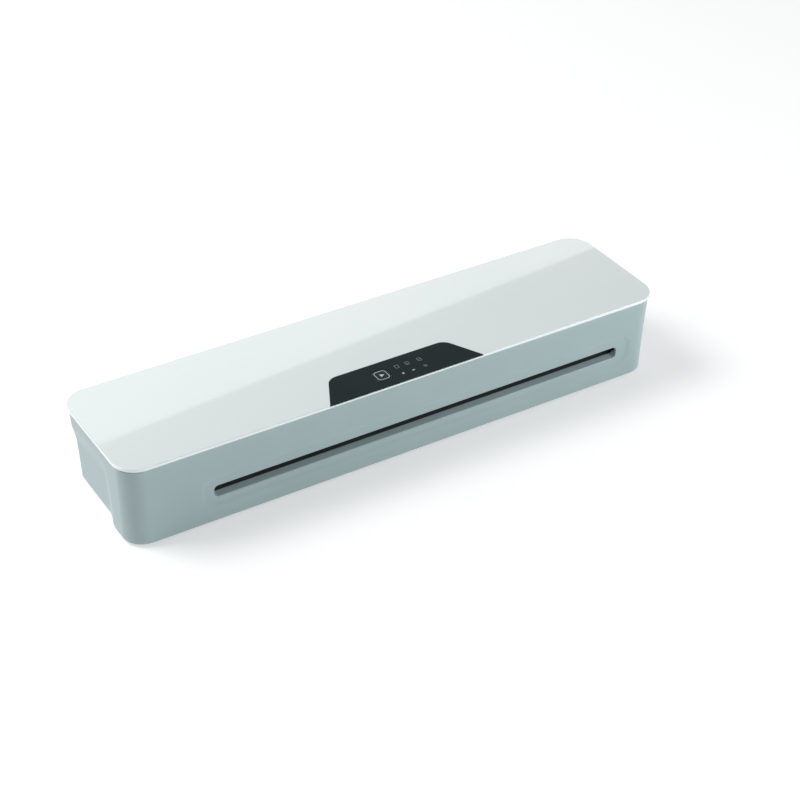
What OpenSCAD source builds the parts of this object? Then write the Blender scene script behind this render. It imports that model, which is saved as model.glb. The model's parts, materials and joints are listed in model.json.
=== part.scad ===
/* [Case] */
// Length of the top cover, left to right
cover_w = 414; // [400:1:500]
// Depth of the top cover, front to rear
cover_d = 101; // [100:1:125]
// Corner radius of the top cover in plan
cover_corner_r = 17.4; // [14:0.1:20]
// Thickness of the top cover at its edge
cover_t = 2.4; // [2:0.1:4]
// Overall height, feet included
total_h = 65; // [64:0.5:80]
// Height of the feet under the case
foot_h = 2; // [1.5:0.1:3]
// Diameter of a foot
foot_d = 13; // [8:0.5:16]
// Inset of the case under the cover's edge
case_inset_top = 1.5; // [0.8:0.1:3]
// Inset of the case's front and rear at the lower edge
case_inset_base = 4; // [3:0.1:6]
// Inset of the case's ends at the lower edge
case_inset_side = 3.2; // [2.5:0.1:4]
// Corner radius of the case in plan
case_corner_r = 14.5; // [14:0.5:18]
// Thickness of the case wall
wall = 2.5; // [2:0.1:3]
// Thickness of the end walls behind the hand recesses
end_wall = 4.1; // [3:0.1:5]
// Depth of the hand recess in each end
grip_depth = 4.1; // [3:0.1:6]
// Height of the hand recess before it flares out to the cover
grip_h = 33; // [25:1:38]

/* [Pouch path] */
// Width of the pouch slot
slot_w = 322; // [250:1:330]
// Distance from the cover's left end to the slot, which holds the drive
drive_w = 61; // [60:1:70]
// Height of the pouch path above the floor
path_z = 28.3; // [27:0.1:31]
// Height of the exit slot from the edge of its lip to its top edge
exit_h = 9.1; // [8:0.1:10]
// Height of the exit slot's top edge above the pouch path
exit_top = 1.4; // [1.2:0.1:2]
// Height of the throat of the entry slot
entry_h = 6.4; // [5:0.1:8]
// Gap between the two heater plates
heater_gap = 3; // [2:0.1:4]

/* [Rollers and gears] */
// Diameter of a roller over its silicone sleeve
roller_d = 17.7; // [16.8:0.1:17.7]
// Diameter of a roller's steel core
core_d = 8; // [6:0.5:9]
// Distance between the front and the rear pair of rollers
roller_pitch = 44; // [42:0.5:50]
// Gear module
gear_module = 1; // [1:0.1:1]
// Teeth on a roller gear
roller_teeth = 18; // [18:1:18]
// Teeth on the idler gear
idler_teeth = 30; // [28:2:32]
// Teeth on the motor pinion
pinion_teeth = 14; // [12:1:15]
// Lift of the upper rollers when they are released
release_lift = 1.2; // [0.8:0.1:1.4]
// Swing of the release lever
release_angle = 44; // [36:1:48]

/* [Panel] */
// Half-length of the panel lens at the front edge
panel_front = 59; // [50:1:70]
// Half-length of the panel lens at its rear edge
panel_rear = 48; // [45:1:60]
// Depth of the panel lens from the cover's front edge
panel_d = 28; // [24:0.5:34]
// Size of the start button
button_w = 12; // [10:0.5:14]
// Travel of the start button
button_travel = 0.6; // [0.4:0.1:1]

/* [Hidden] */
$fn = 64;

// ---- derived case sizes
edge_round = 0.7;
cover_z = total_h - cover_t;
case_h = cover_z - foot_h;
fit = 0.3;
run = 0.05;
slot_x0 = -cover_w / 2 + drive_w;
slot_x1 = slot_x0 + slot_w;
mid_x = (slot_x0 + slot_x1) / 2;
cavity_r = 12;
cavity_w = cover_w - 2 * (case_inset_side + edge_round + grip_depth + end_wall);
cavity_d = cover_d - 2 * (case_inset_base + wall);
upper_cavity_z = foot_h + grip_h + 17;
upper_cavity_w = cover_w - 2 * (case_inset_top + wall + 1);
upper_cavity_d = cover_d - 2 * (case_inset_top + wall);
base_t = 2;
base_z = foot_h + 0.3;
floor_z = base_z + base_t;
boss_r = 3.6;
boss_h = 15;
screw_r = 1.5;
foot_places = [for (x = [-1, 1]) for (y = [-1, 1])
  [x * (cavity_w / 2 - 32), y * (cavity_d / 2 - 12)]];

// ---- derived exit slot: its lip runs inward and up to the lower guide
exit_x0 = slot_x0 + 2;
exit_x1 = slot_x1 - 1.5;
exit_z1 = path_z + exit_top;
lip_z = exit_z1 - exit_h;
lip_rise = 1.9;
lip_y = cavity_d / 2 - 2.1;
dish_depth = 0.75;
guide_gap = 2.3;
guide_t = 1.2;

// ---- derived roller, frame and gear places
row_y = roller_pitch / 2;
roller_r = roller_d / 2;
core_r = core_d / 2;
gear_pitch_r = gear_module * roller_teeth / 2;
idler_pitch_r = gear_module * idler_teeth / 2;
pinion_pitch_r = gear_module * pinion_teeth / 2;
lower_z = path_z - gear_pitch_r;
upper_z = path_z + gear_pitch_r;
idler_reach = gear_pitch_r + idler_pitch_r;
idler_z = lower_z + sqrt(idler_reach * idler_reach - row_y * row_y);
pinion_z = idler_z + idler_pitch_r + pinion_pitch_r;
backlash = 0.12;
plate_t = 1.5;
element_z = heater_gap / 2 + plate_t;
element_t = 0.7;
lead_r = 0.9;
lead_y = 8;
lead_z = path_z + 4.7;

frame_t = 1.5;
frame_x0 = slot_x0 - 6;
frame_x1 = slot_x1 + 6;
frame_top = upper_z + 16.2;
rod_places = [[-33.5, 12.5], [33.5, 12.5], [-34, upper_z + 8.7]];
yoke_gap = 0.3;
yoke_x0 = frame_x0 + yoke_gap;
bush_r = core_r + 2;
bush_flange_r = bush_r + 1.5;
bush_out = 1.5;
sleeve_x0 = slot_x0 + 1;
sleeve_x1 = slot_x1 - 1;

gear_gap = 0.5;
gear_x1 = frame_x0 - frame_t - bush_out - gear_gap;
plane_w = 6;
upper_gear_x0 = gear_x1 - plane_w;
upper_core_x0 = upper_gear_x0 - 0.2;
idler_x1 = upper_gear_x0 - gear_gap;
idler_x0 = idler_x1 - plane_w;
lower_gear_x0 = idler_x0;
core_x0 = lower_gear_x0 - 1;
core_x1 = frame_x1 + 4;
bracket_t = 1.5;
bracket_x1 = core_x0 - 1;
bracket_x0 = bracket_x1 - bracket_t;
stud_r = 4;
frame_screw_places = concat(
  [for (x = [frame_x0 + 5, frame_x1 - 5]) for (y = [-35.5, 35.5]) [x, y]],
  [for (y = [-28, 28]) [bracket_x0 - 8, y]]
);
motor_r = 24;
motor_w = 18;
motor_z = floor_z + 5 + motor_r;
motor_shaft_r = 3;

// ---- release lever, its shaft and its cams
release_y = row_y + 14;
release_z = upper_z + 8.7;
release_r = 3;
cam_r = 4;
cam_w = 3.8;
rest_swing = release_angle / 2;
cam_offset = release_lift / (2 * sin(rest_swing));
cam_gap = 0.15;
tab_z = release_z + cam_r - cam_offset * sin(rest_swing) + cam_gap;
lever_x = slot_x1 - 26;
lever_w = 14;
lever_r = cover_d / 2 - release_y - 0.8;
yoke_top = upper_z + 8.2;
yoke_t = 1.5;
flange_w = 4.8;
spring_y = row_y - 2;
spring_r = 2.1;

// ---- panel and rear fittings
panel_t = 1;
button_x = -13.5;
button_y = 13.5 - cover_d / 2;
button_gap = 0.3;
board_z = cover_z - 6.4;
light_r = 1.1;
guide_xs = [0.2, 8, 17.5];
guide_ys = [8.6 - cover_d / 2, 17.3 - cover_d / 2];
switch_x = slot_x0 - 22;
switch_z = 42;
switch_w = 20;
switch_h = 13.4;
rocker_y = cover_d / 2 - 6.5;
rocker_tilt = 7;
gland_x = slot_x0 - 30;
gland_z = 14.5;
gland_r = 5.5;
gland_bore_r = 3.6;
gland_flange_r = gland_r + 1.8;
rear_in = cavity_d / 2 - 6;
rear_out = cover_d / 2 + 4.5;
bezel = 1.3;
seat_w = switch_w + 2 * bezel + 0.2;
seat_h = switch_h + 2 * bezel + 0.2;
window_w = lever_w + 3;
window_h = 2 * (lever_r * sin(rest_swing) + 4.4);

function mesh_phase(phase, teeth, dir, next_teeth) =
  dir + 180 - (0.5 - (dir - phase) * teeth / 360) * 360 / next_teeth;
function smooth(t) = let (c = max(0, min(1, t))) c * c * (3 - 2 * c);

idler_phase = 0;
front_dir = atan2(lower_z - idler_z, -row_y);
rear_dir = atan2(lower_z - idler_z, row_y);
lower_front_phase = mesh_phase(idler_phase, idler_teeth, front_dir, roller_teeth);
lower_rear_phase = mesh_phase(idler_phase, idler_teeth, rear_dir, roller_teeth);
upper_front_phase = mesh_phase(lower_front_phase, roller_teeth, 90, roller_teeth);
upper_rear_phase = mesh_phase(lower_rear_phase, roller_teeth, 90, roller_teeth);
pinion_phase = mesh_phase(idler_phase, idler_teeth, 90, pinion_teeth);

// ---- helpers: along_x puts a drawing's x and y on the object's Y and Z
module along_x(x0, x1) {
  translate([x0, 0, 0]) rotate([90, 0, 90]) linear_extrude(x1 - x0) children();
}
module rod_x(x0, x1, y, z, r) {
  translate([x0, y, z]) rotate([0, 90, 0]) cylinder(h = x1 - x0, r = r);
}
module rod_y(x, y0, y1, z, r) {
  translate([x, y0, z]) rotate([-90, 0, 0]) cylinder(h = y1 - y0, r = r);
}
module block(x0, x1, y0, y1, z0, z1) {
  translate([x0, y0, z0]) cube([x1 - x0, y1 - y0, z1 - z0]);
}
module both_ends() {
  children();
  translate([2 * mid_x, 0, 0]) mirror([1, 0, 0]) children();
}
module plan(w, d, r) {
  square([w - 2 * r, d], center = true);
  square([w, d - 2 * r], center = true);
  for (x = [-1, 1])
    for (y = [-1, 1])
      translate([x * (w / 2 - r), y * (d / 2 - r)]) circle(r);
}
module stadium(x0, x1, z0, z1) {
  r = (z1 - z0) / 2;
  translate([x0 + r, z0]) square([x1 - x0 - 2 * r, z1 - z0]);
  for (x = [x0 + r, x1 - r]) translate([x, z0 + r]) circle(r);
}
function unit(v) = v / norm(v);
function route_point(p, i, t) =
  let (a = p[max(0, i - 1)], b = p[i], c = p[i + 1], d = p[min(len(p) - 1, i + 2)])
  0.5 * (2 * b + (c - a) * t + (2 * a - 5 * b + 4 * c - d) * t * t + (3 * b - a - 3 * c + d) * t * t * t);
function route(p, n) =
  [for (i = [0:len(p) - 2]) for (k = [0:n - 1]) route_point(p, i, k / n), p[len(p) - 1]];
module lead(points, r, side) {
  // a round lead swept along a smooth route through its points
  sides = 8;
  path = route(points, 5);
  last = len(path) - 1;
  rings = [for (i = [0:last])
    let (d = unit(path[min(last, i + 1)] - path[max(0, i - 1)]),
         u = unit(cross(d, side)), v = cross(u, d))
    for (s = [0:sides - 1]) path[i] + r * (cos(360 * s / sides) * u + sin(360 * s / sides) * v)];
  polyhedron(points = rings, faces = concat(
    [[for (s = [sides - 1:-1:0]) s]],
    [[for (s = [0:sides - 1]) last * sides + s]],
    [for (i = [0:last - 1]) for (s = [0:sides - 1])
      let (a = i * sides + s, b = i * sides + (s + 1) % sides)
      each [[a, b, b + sides], [a, b + sides, a + sides]]]
  ));
}

// ---- gears: an involute tooth on each side of its own centre line
function involute_angle(r, base_r) =
  r <= base_r ? 0 : sqrt(r * r / (base_r * base_r) - 1) * 180 / PI - acos(base_r / r);
function flank(r, pitch_r, base_r, teeth) =
  90 / teeth - backlash / 2 / pitch_r * 180 / PI
  + involute_angle(pitch_r, base_r) - involute_angle(r, base_r);
module gear_outline(teeth, phase, bore_r) {
  pitch_r = gear_module * teeth / 2;
  base_r = pitch_r * cos(20);
  root_r = pitch_r - 1.25 * gear_module;
  tip_r = pitch_r + 0.95 * gear_module;
  low_r = max(root_r, base_r);
  radii = [root_r, for (i = [0:4]) low_r + (tip_r - low_r) * i / 4];
  difference() {
    polygon([
      for (t = [0:teeth - 1])
        for (s = [-1, 1])
          for (i = [0:len(radii) - 1])
            let (r = radii[s < 0 ? i : len(radii) - 1 - i],
                 a = phase + 360 * t / teeth + s * flank(r, pitch_r, base_r, teeth))
            [r * cos(a), r * sin(a)]
    ]);
    circle(bore_r);
  }
}
module gear(x0, x1, y, z, teeth, phase, bore_r) {
  translate([0, y, z]) along_x(x0, x1) gear_outline(teeth, phase, bore_r);
}

// ---- case shell: outline levels with a hand recess in each end
function inset_at(z, base = case_inset_base) = let (t = (z - foot_h) / case_h)
  base - (base - case_inset_top) * pow(max(t, 0), 1.4)
  + edge_round * pow(max(0, 1 - (z - foot_h) / (2 * edge_round)), 2);
function grip_at(y, z) =
  smooth((y + 21) / 18) * grip_depth * (1 - smooth((z - foot_h - grip_h + 4) / 24));
function quarter(x, y, a0, a1, n) =
  [for (i = [0:n]) let (a = a0 + (a1 - a0) * i / n)
    [x + case_corner_r * cos(a), y + case_corner_r * sin(a)]];
function half_outline(z) =
  let (hx = cover_w / 2 - inset_at(z, case_inset_side), hy = cover_d / 2 - inset_at(z),
       cx = hx - case_corner_r, cy = hy - case_corner_r,
       cut = grip_at(hy - 5, z),
       a0 = acos(1 - cut / case_corner_r),
       y_end = cy + case_corner_r * sin(a0),
       side_n = 14)
  concat(
    quarter(cx, -cy, -90, 0, 10),
    [for (i = [1:side_n - 1]) let (y = -cy + (y_end + cy) * i / side_n) [hx - grip_at(y, z), y]],
    quarter(cx, cy, a0, 90, 8)
  );
function level(z) = let (h = half_outline(z), n = len(h))
  concat([for (p = h) [p[0], p[1], z]], [for (i = [n - 1:-1:0]) [-h[i][0], h[i][1], z]]);
module case_solid() {
  heights = [0, 0.35, 0.8, 1.4, 8, 15, 22, 28, for (h = [32:3.5:56.5]) h, case_h];
  zs = [for (h = heights) foot_h + h];
  n = len(level(zs[0]));
  k = len(zs);
  polyhedron(
    points = [for (z = zs) each level(z)],
    faces = concat(
      [[for (i = [0:n - 1]) i]],
      [[for (i = [n - 1:-1:0]) (k - 1) * n + i]],
      [for (j = [0:k - 2]) for (i = [0:n - 1]) let (a = j * n + i, b = j * n + (i + 1) % n)
        each [[a, a + n, b + n], [a, b + n, b]]]
    )
  );
}
function face_y(z) = cover_d / 2 - inset_at(z);
boss_places = concat(
  [for (x = [-1, 1]) for (y = [-1, 1])
    [x * (cavity_w / 2 - cavity_r + 6.4), y * (cavity_d / 2 - cavity_r + 6.4)]],
  [for (x = [-45, 75]) for (y = [-1, 1]) [x, y * (cavity_d / 2 - boss_r + 0.5)]]
);

module exit_slot_cut() {
  front = -face_y(path_z);
  mid_z = (lip_z + exit_z1) / 2;
  translate([(exit_x0 + exit_x1) / 2, -rear_in, mid_z]) rotate([90, 0, 0])
    linear_extrude(rear_out - rear_in)
    plan(exit_x1 - exit_x0, exit_h, 3);
  // shallow dish around the slot
  translate([0, front + dish_depth, 0]) rotate([90, 0, 0]) linear_extrude(10)
    stadium(slot_x0 - 6.5, slot_x1 + 9, path_z - 13.3, path_z + 8.9);
}
module exit_lip() {
  edge_y = dish_depth + 0.4 - face_y(path_z);
  inner_y = -cavity_d / 2 - 0.5;
  along_x(exit_x0 - 1, exit_x1 + 1)
    polygon([[edge_y, lip_z - 1], [edge_y, lip_z], [-lip_y, lip_z + lip_rise],
             [-lip_y, lip_z - 1.1], [inner_y, lip_z - 3.5]]);
}
module entry_slot_cut() {
  rear = face_y(path_z);
  half = entry_h / 2;
  translate([0, rear_out, 0]) rotate([90, 0, 0]) linear_extrude(rear_out - rear_in)
    stadium(slot_x0, slot_x1, path_z - half, path_z + half);
  // flare towards the outside
  along_x(slot_x0 + 3, slot_x1 - 3)
    polygon([[rear - 2.8, path_z - half + 0.1], [rear + 3, path_z - half - 5.6],
             [rear + 3, path_z + half + 5.6], [rear - 2.8, path_z + half - 0.1]]);
}

module body_shell() {
  color([0.65, 0.71, 0.72]) {
    difference() {
      case_solid();
      translate([0, 0, foot_h - 1]) linear_extrude(case_h + 2) plan(cavity_w, cavity_d, cavity_r);
      translate([0, 0, upper_cavity_z]) linear_extrude(case_h)
        plan(upper_cavity_w, upper_cavity_d, cavity_r);
      exit_slot_cut();
      entry_slot_cut();
      block(switch_x - switch_w / 2, switch_x + switch_w / 2, rear_in, rear_out,
            switch_z - switch_h / 2, switch_z + switch_h / 2);
      rod_y(gland_x, rear_in, rear_out, gland_z, gland_r);
      // flat seats for the gland's flange and the switch's bezel
      rod_y(gland_x, face_y(gland_z), rear_out, gland_z, gland_flange_r + 0.1);
      block(switch_x - seat_w / 2, switch_x + seat_w / 2, face_y(switch_z), rear_out,
            switch_z - seat_h / 2, switch_z + seat_h / 2);
      block(lever_x - window_w / 2, lever_x + window_w / 2, rear_in, rear_out,
            release_z - window_h / 2, release_z + window_h / 2);
    }
    exit_lip();
    for (p = boss_places)
      translate([p[0], p[1], floor_z]) difference() {
        cylinder(h = boss_h, r = boss_r);
        translate([0, 0, -1]) cylinder(h = 11, r = 1.2);
      }
  }
}

module base_plate() {
  color([0.30, 0.33, 0.34]) difference() {
    translate([0, 0, base_z]) linear_extrude(base_t)
      plan(cavity_w - 2 * fit, cavity_d - 2 * fit, cavity_r - fit);
    for (p = boss_places) translate([p[0], p[1], 0]) {
      cylinder(h = 10, r = 1.7);
      translate([0, 0, base_z - 1]) cylinder(h = 1.9, r = 3.2);
    }
    for (p = foot_places) translate([p[0], p[1], base_z - 1]) cylinder(h = 1.8, r = foot_d / 2);
    for (p = frame_screw_places) translate([p[0], p[1], 0]) cylinder(h = 10, r = screw_r);
    // vent slots in two rows
    for (x = [slot_x0 + 60:20:slot_x1 - 60])
      for (y = [-19, 19])
        block(x - 1.5, x + 1.5, y - 9, y + 9, 0, 10);
  }
}
module rubber_feet() {
  color([0.12, 0.12, 0.12]) for (p = foot_places) translate([p[0], p[1], 0])
    rotate_extrude() polygon([[0, 0], [foot_d / 2 - 1, 0], [foot_d / 2, 0.8],
                              [foot_d / 2, base_z + 0.8], [0, base_z + 0.8]]);
}
module base_screws() {
  color([0.5, 0.5, 0.52]) for (p = boss_places) translate([p[0], p[1], base_z - 0.1]) difference() {
    union() {
      cylinder(h = 1, r = 2.9);
      cylinder(h = 9.5, r = 1.2);
    }
    for (a = [0, 90]) rotate(a) translate([-1.8, -0.3, -1]) cube([3.6, 0.6, 1.6]);
  }
}

// ---- top cover, panel lens and start button
module panel_outline(grow) {
  back = -cover_d / 2 + panel_d;
  r = 8;
  intersection() {
    union() {
      polygon([[-panel_front - grow, -cover_d / 2 - grow], [panel_front + grow, -cover_d / 2 - grow],
               [panel_rear + grow, back - r], [-panel_rear - grow, back - r]]);
      for (s = [-1, 1]) translate([s * (panel_rear - r), back - r]) circle(r + grow);
      translate([-panel_rear + r, back - 2 * r]) square([2 * (panel_rear - r), 2 * r + grow]);
    }
    plan(cover_w, cover_d, cover_corner_r);
  }
}
module button_outline(grow) {
  plan(button_w + 2 * grow, button_w + 1 + 2 * grow, 3.2 + grow);
}
module top_cover() {
  edge = 0.7;
  color([0.95, 0.96, 0.96]) {
    difference() {
      union() {
        translate([0, 0, cover_z]) linear_extrude(cover_t - edge)
          plan(cover_w, cover_d, cover_corner_r);
        hull() {
          translate([0, 0, total_h - edge - 0.01]) linear_extrude(0.01)
            plan(cover_w, cover_d, cover_corner_r);
          translate([0, 0, total_h - 0.01]) linear_extrude(0.01)
            plan(cover_w - 2 * edge, cover_d - 2 * edge, cover_corner_r - edge);
        }
        // locating rim inside the case
        translate([0, 0, cover_z - 2.6]) linear_extrude(2.6) difference() {
          plan(upper_cavity_w - 2 * fit, upper_cavity_d - 2 * fit, cavity_r - fit);
          plan(upper_cavity_w - 2 * fit - 2.4, upper_cavity_d - 2 * fit - 2.4, cavity_r - fit - 1.2);
        }
      }
      translate([0, 0, total_h - panel_t]) linear_extrude(5) panel_outline(0);
      translate([button_x, button_y, 0]) linear_extrude(total_h) button_outline(button_gap);
      for (x = guide_xs) for (y = guide_ys)
        translate([x, y, 0]) cylinder(h = total_h, r = light_r + 0.2);
      // notches in the rim for the control board's posts
      for (x = [-41, 41])
        block(x - 3, x + 3, -cover_d / 2, 6 - upper_cavity_d / 2, 0, cover_z - 0.01);
    }
    for (x = [-38, 38])
      translate([x, button_y + 1, board_z + 1.6]) cylinder(h = cover_z - board_z - 1.6, r = 2.4);
  }
}
module panel_lens() {
  color([0.12, 0.16, 0.18]) difference() {
    translate([0, 0, total_h - panel_t]) linear_extrude(panel_t) panel_outline(-0.12);
    translate([button_x, button_y, 0]) linear_extrude(2 * total_h) button_outline(button_gap);
  }
}
module start_button() {
  stem_z = board_z + 1.6 + 3.5 + button_travel + 0.1;
  color([0.15, 0.19, 0.21]) {
    translate([button_x, button_y, stem_z + 0.6]) linear_extrude(total_h - stem_z - 0.6)
      button_outline(0);
    translate([button_x, button_y, stem_z]) cylinder(h = 0.7, r = 2);
  }
}
module control_board() {
  color([0.10, 0.35, 0.20]) {
    block(-45, 45, button_y - 8, button_y + 9, board_z, board_z + 1.6);
    block(button_x - 3, button_x + 3, button_y - 3, button_y + 3, board_z + 1.6, board_z + 4.6);
    translate([button_x, button_y, board_z + 4]) cylinder(h = 1.1, r = 1.6);
    for (x = guide_xs) for (y = guide_ys)
      block(x - 1.5, x + 1.5, y - 1, y + 1, board_z + 1.6, board_z + 2.5);
    block(26, 34, button_y, button_y + 5, board_z - 3, board_z);
  }
}
module light_guides() {
  color([0.9, 0.95, 1]) for (x = guide_xs) for (y = guide_ys)
    translate([x, y, board_z + 2.5]) cylinder(h = total_h - panel_t - board_z - 2.5, r = light_r);
}

// ---- pouch guides: thin plates that lead a pouch to and from the rollers
module guide(side, s, gap, reach, rib_h) {
  inner = side * (row_y + 9.2);
  outer = side * reach;
  rib = outer - side * 1.6;
  in_z = path_z + s * guide_gap;
  out_z = path_z + s * gap;
  color([0.25, 0.27, 0.28]) along_x(slot_x0 - 4, slot_x1 + 4) polygon([
    [inner, in_z], [outer, out_z], [outer, out_z + s * rib_h],
    [rib, out_z + s * rib_h], [rib, out_z + s * guide_t], [inner, in_z + s * guide_t]
  ]);
}
module lower_entry_guide() { guide(1, -1, entry_h / 2, cavity_d / 2, 4); }
module upper_entry_guide() { guide(1, 1, entry_h / 2, cavity_d / 2, 4); }
module lower_exit_guide() { guide(-1, -1, path_z - lip_z - lip_rise, lip_y, 3); }
module upper_exit_guide() { guide(-1, 1, exit_top - 0.1, cavity_d / 2, 4); }

// ---- frames
module frame_side() {
  difference() {
    union() {
      along_x(frame_x0 - frame_t, frame_x0) difference() {
        polygon([[-38.5, floor_z], [38.5, floor_z], [41.5, floor_z + 10], [41.5, frame_top],
                 [-36, frame_top], [-38.5, frame_top - 8]]);
        for (y = [-row_y, row_y]) {
          translate([y, lower_z]) circle(bush_r);
          translate([y, upper_z]) circle(bush_r + 0.1);
          translate([y, upper_z + release_lift + 0.2]) circle(bush_r + 0.1);
          translate([y - bush_r - 0.1, upper_z]) square([2 * bush_r + 0.2, release_lift + 0.2]);
        }
        translate([release_y, release_z]) circle(release_r + run);
      }
      block(frame_x0 - frame_t, frame_x0 + 10, -38.5, 38.5, floor_z, floor_z + frame_t);
      block(frame_x0 - frame_t, frame_x0 + 8, -36, row_y + 1, frame_top - frame_t, frame_top);
    }
    for (y = [-35.5, 35.5]) translate([frame_x0 + 5, y, 0]) cylinder(h = 12, r = screw_r);
    for (p = rod_places) rod_x(frame_x0 - 5, frame_x0 + 1, p[0], p[1], screw_r);
  }
}
module left_frame() {
  color([0.72, 0.73, 0.75]) difference() {
    frame_side();
    rod_x(frame_x0 - 5, frame_x0 + 1, 0, idler_z, stud_r - 1);
  }
}
module right_frame() {
  color([0.72, 0.73, 0.75]) difference() {
    translate([2 * mid_x, 0, 0]) mirror([1, 0, 0]) frame_side();
    rod_x(frame_x1 - 5, frame_x1 + 5, lead_y, lead_z, lead_r + 2);
  }
}
module tie_rods() {
  color([0.6, 0.6, 0.62]) for (p = rod_places) difference() {
    rod_x(frame_x0, frame_x1, p[0], p[1], 2.5);
    rod_x(frame_x0 - 1, frame_x0 + 9, p[0], p[1], screw_r);
    rod_x(frame_x1 - 9, frame_x1 + 1, p[0], p[1], screw_r);
  }
}
module pan_screw(length) {
  difference() {
    union() {
      cylinder(h = length, r = screw_r);
      translate([0, 0, length]) cylinder(h = 1.8, r = 2.8);
    }
    for (a = [0, 90]) rotate(a) translate([-1.7, -0.3, length + 0.8]) cube([3.4, 0.6, 2]);
  }
}
module machine_screws() {
  color([0.55, 0.55, 0.57]) {
    for (p = frame_screw_places) translate([p[0], p[1], base_z]) pan_screw(base_t + frame_t);
    both_ends() for (p = rod_places)
      translate([frame_x0 + 8, p[0], p[1]]) rotate([0, -90, 0]) pan_screw(8 + frame_t);
    for (y = [-1, 1]) translate([bracket_x1, y * (motor_r + 5), motor_z])
      rotate([0, -90, 0]) pan_screw(bracket_t + 1);
  }
}

// ---- heaters, shields and temperature parts
module heater_plate(s) {
  near = path_z + s * heater_gap / 2;
  far = path_z + s * element_z;
  half = row_y - roller_r - 1.6;
  along_x(sleeve_x0, sleeve_x1) polygon([
    [-half, near + s * 1.4], [-half + 2, near], [half - 2, near], [half, near + s * 1.4],
    [half, far + s * 1.4], [half - 2, far], [-half + 2, far], [-half, far + s * 1.4]]);
  block(frame_x0, frame_x1, -4, 4, min(near, far), max(near, far));
}
module lower_heater_plate() { color([0.8, 0.81, 0.83]) heater_plate(-1); }
module upper_heater_plate() { color([0.8, 0.81, 0.83]) heater_plate(1); }
module lower_heater_element() {
  color([0.75, 0.68, 0.45])
    block(slot_x0 + 6, slot_x1 - 6, -8, 8, path_z - element_z - element_t, path_z - element_z);
}
module upper_heater_element() {
  color([0.75, 0.68, 0.45])
    block(slot_x0 + 6, slot_x1 - 6, -8, 8, path_z + element_z, path_z + element_z + element_t);
}
module thermal_cutout() {
  color([0.2, 0.2, 0.2]) translate([mid_x, 0, path_z + element_z + element_t]) {
    cylinder(h = 5, r = 6);
    for (y = [-7.5, 7.5]) translate([-2, y - 1.5, 0]) cube([4, 3, 1.5]);
    for (x = [-3, 3]) translate([x - 0.4, -2, 5]) cube([0.8, 4, 2.5]);
  }
}
module thermistor() {
  color([0.85, 0.3, 0.2])
    rod_x(mid_x - 70, mid_x - 60, 0, path_z - element_z - element_t - 1.4, 1.4);
}
module lower_heat_shield() {
  z0 = floor_z + frame_t;
  color([0.78, 0.79, 0.8]) along_x(frame_x0 + 0.5, frame_x1 - 0.5) polygon([
    [-31.8, z0], [31.8, z0], [31.8, z0 + 3.5], [31, z0 + 3.5], [31, z0 + 0.8],
    [-31, z0 + 0.8], [-31, z0 + 3.5], [-31.8, z0 + 3.5]]);
}
module upper_heat_shield() {
  color([0.78, 0.79, 0.8])
    block(frame_x0 - frame_t, frame_x1 + frame_t, -30, 30, frame_top, frame_top + 0.8);
}

// ---- rollers: core, silicone sleeve, gear and clips
module roller_core(y, z, x0) {
  color([0.7, 0.71, 0.73]) rod_x(x0, core_x1, y, z, core_r);
}
module roller_sleeve(y, z) {
  color([0.26, 0.27, 0.28]) difference() {
    rod_x(sleeve_x0, sleeve_x1, y, z, roller_r);
    rod_x(sleeve_x0 - 1, sleeve_x1 + 1, y, z, core_r);
  }
}
module roller_clips(y, z) {
  color([0.35, 0.35, 0.36]) both_ends() difference() {
    rod_x(frame_x0 + bush_out + 0.3, frame_x0 + bush_out + 1, y, z, core_r + 2.2);
    rod_x(frame_x0, frame_x0 + 5, y, z, core_r);
  }
}
module lower_front_core() { roller_core(-row_y, lower_z, core_x0); }
module lower_front_sleeve() { roller_sleeve(-row_y, lower_z); }
module lower_front_clips() { roller_clips(-row_y, lower_z); }
module lower_front_gear() {
  color([0.92, 0.9, 0.84])
    gear(lower_gear_x0, gear_x1, -row_y, lower_z, roller_teeth, lower_front_phase, core_r);
}
module lower_rear_core() { roller_core(row_y, lower_z, core_x0); }
module lower_rear_sleeve() { roller_sleeve(row_y, lower_z); }
module lower_rear_clips() { roller_clips(row_y, lower_z); }
module lower_rear_gear() {
  color([0.92, 0.9, 0.84])
    gear(lower_gear_x0, gear_x1, row_y, lower_z, roller_teeth, lower_rear_phase, core_r);
}
module upper_front_core() { roller_core(-row_y, upper_z, upper_core_x0); }
module upper_front_sleeve() { roller_sleeve(-row_y, upper_z); }
module upper_front_gear() {
  color([0.92, 0.9, 0.84])
    gear(upper_gear_x0, gear_x1, -row_y, upper_z, roller_teeth, upper_front_phase, core_r);
}
module upper_rear_core() { roller_core(row_y, upper_z, upper_core_x0); }
module upper_rear_sleeve() { roller_sleeve(row_y, upper_z); }
module upper_rear_gear() {
  color([0.92, 0.9, 0.84])
    gear(upper_gear_x0, gear_x1, row_y, upper_z, roller_teeth, upper_rear_phase, core_r);
}
module lower_bushes() {
  color([0.9, 0.88, 0.8]) both_ends() for (y = [-row_y, row_y]) difference() {
    union() {
      rod_x(frame_x0 - frame_t - bush_out, frame_x0 + bush_out, y, lower_z, bush_r);
      rod_x(frame_x0, frame_x0 + bush_out, y, lower_z, bush_flange_r);
    }
    rod_x(frame_x0 - 9, frame_x0 + 9, y, lower_z, core_r + run);
  }
}

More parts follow.
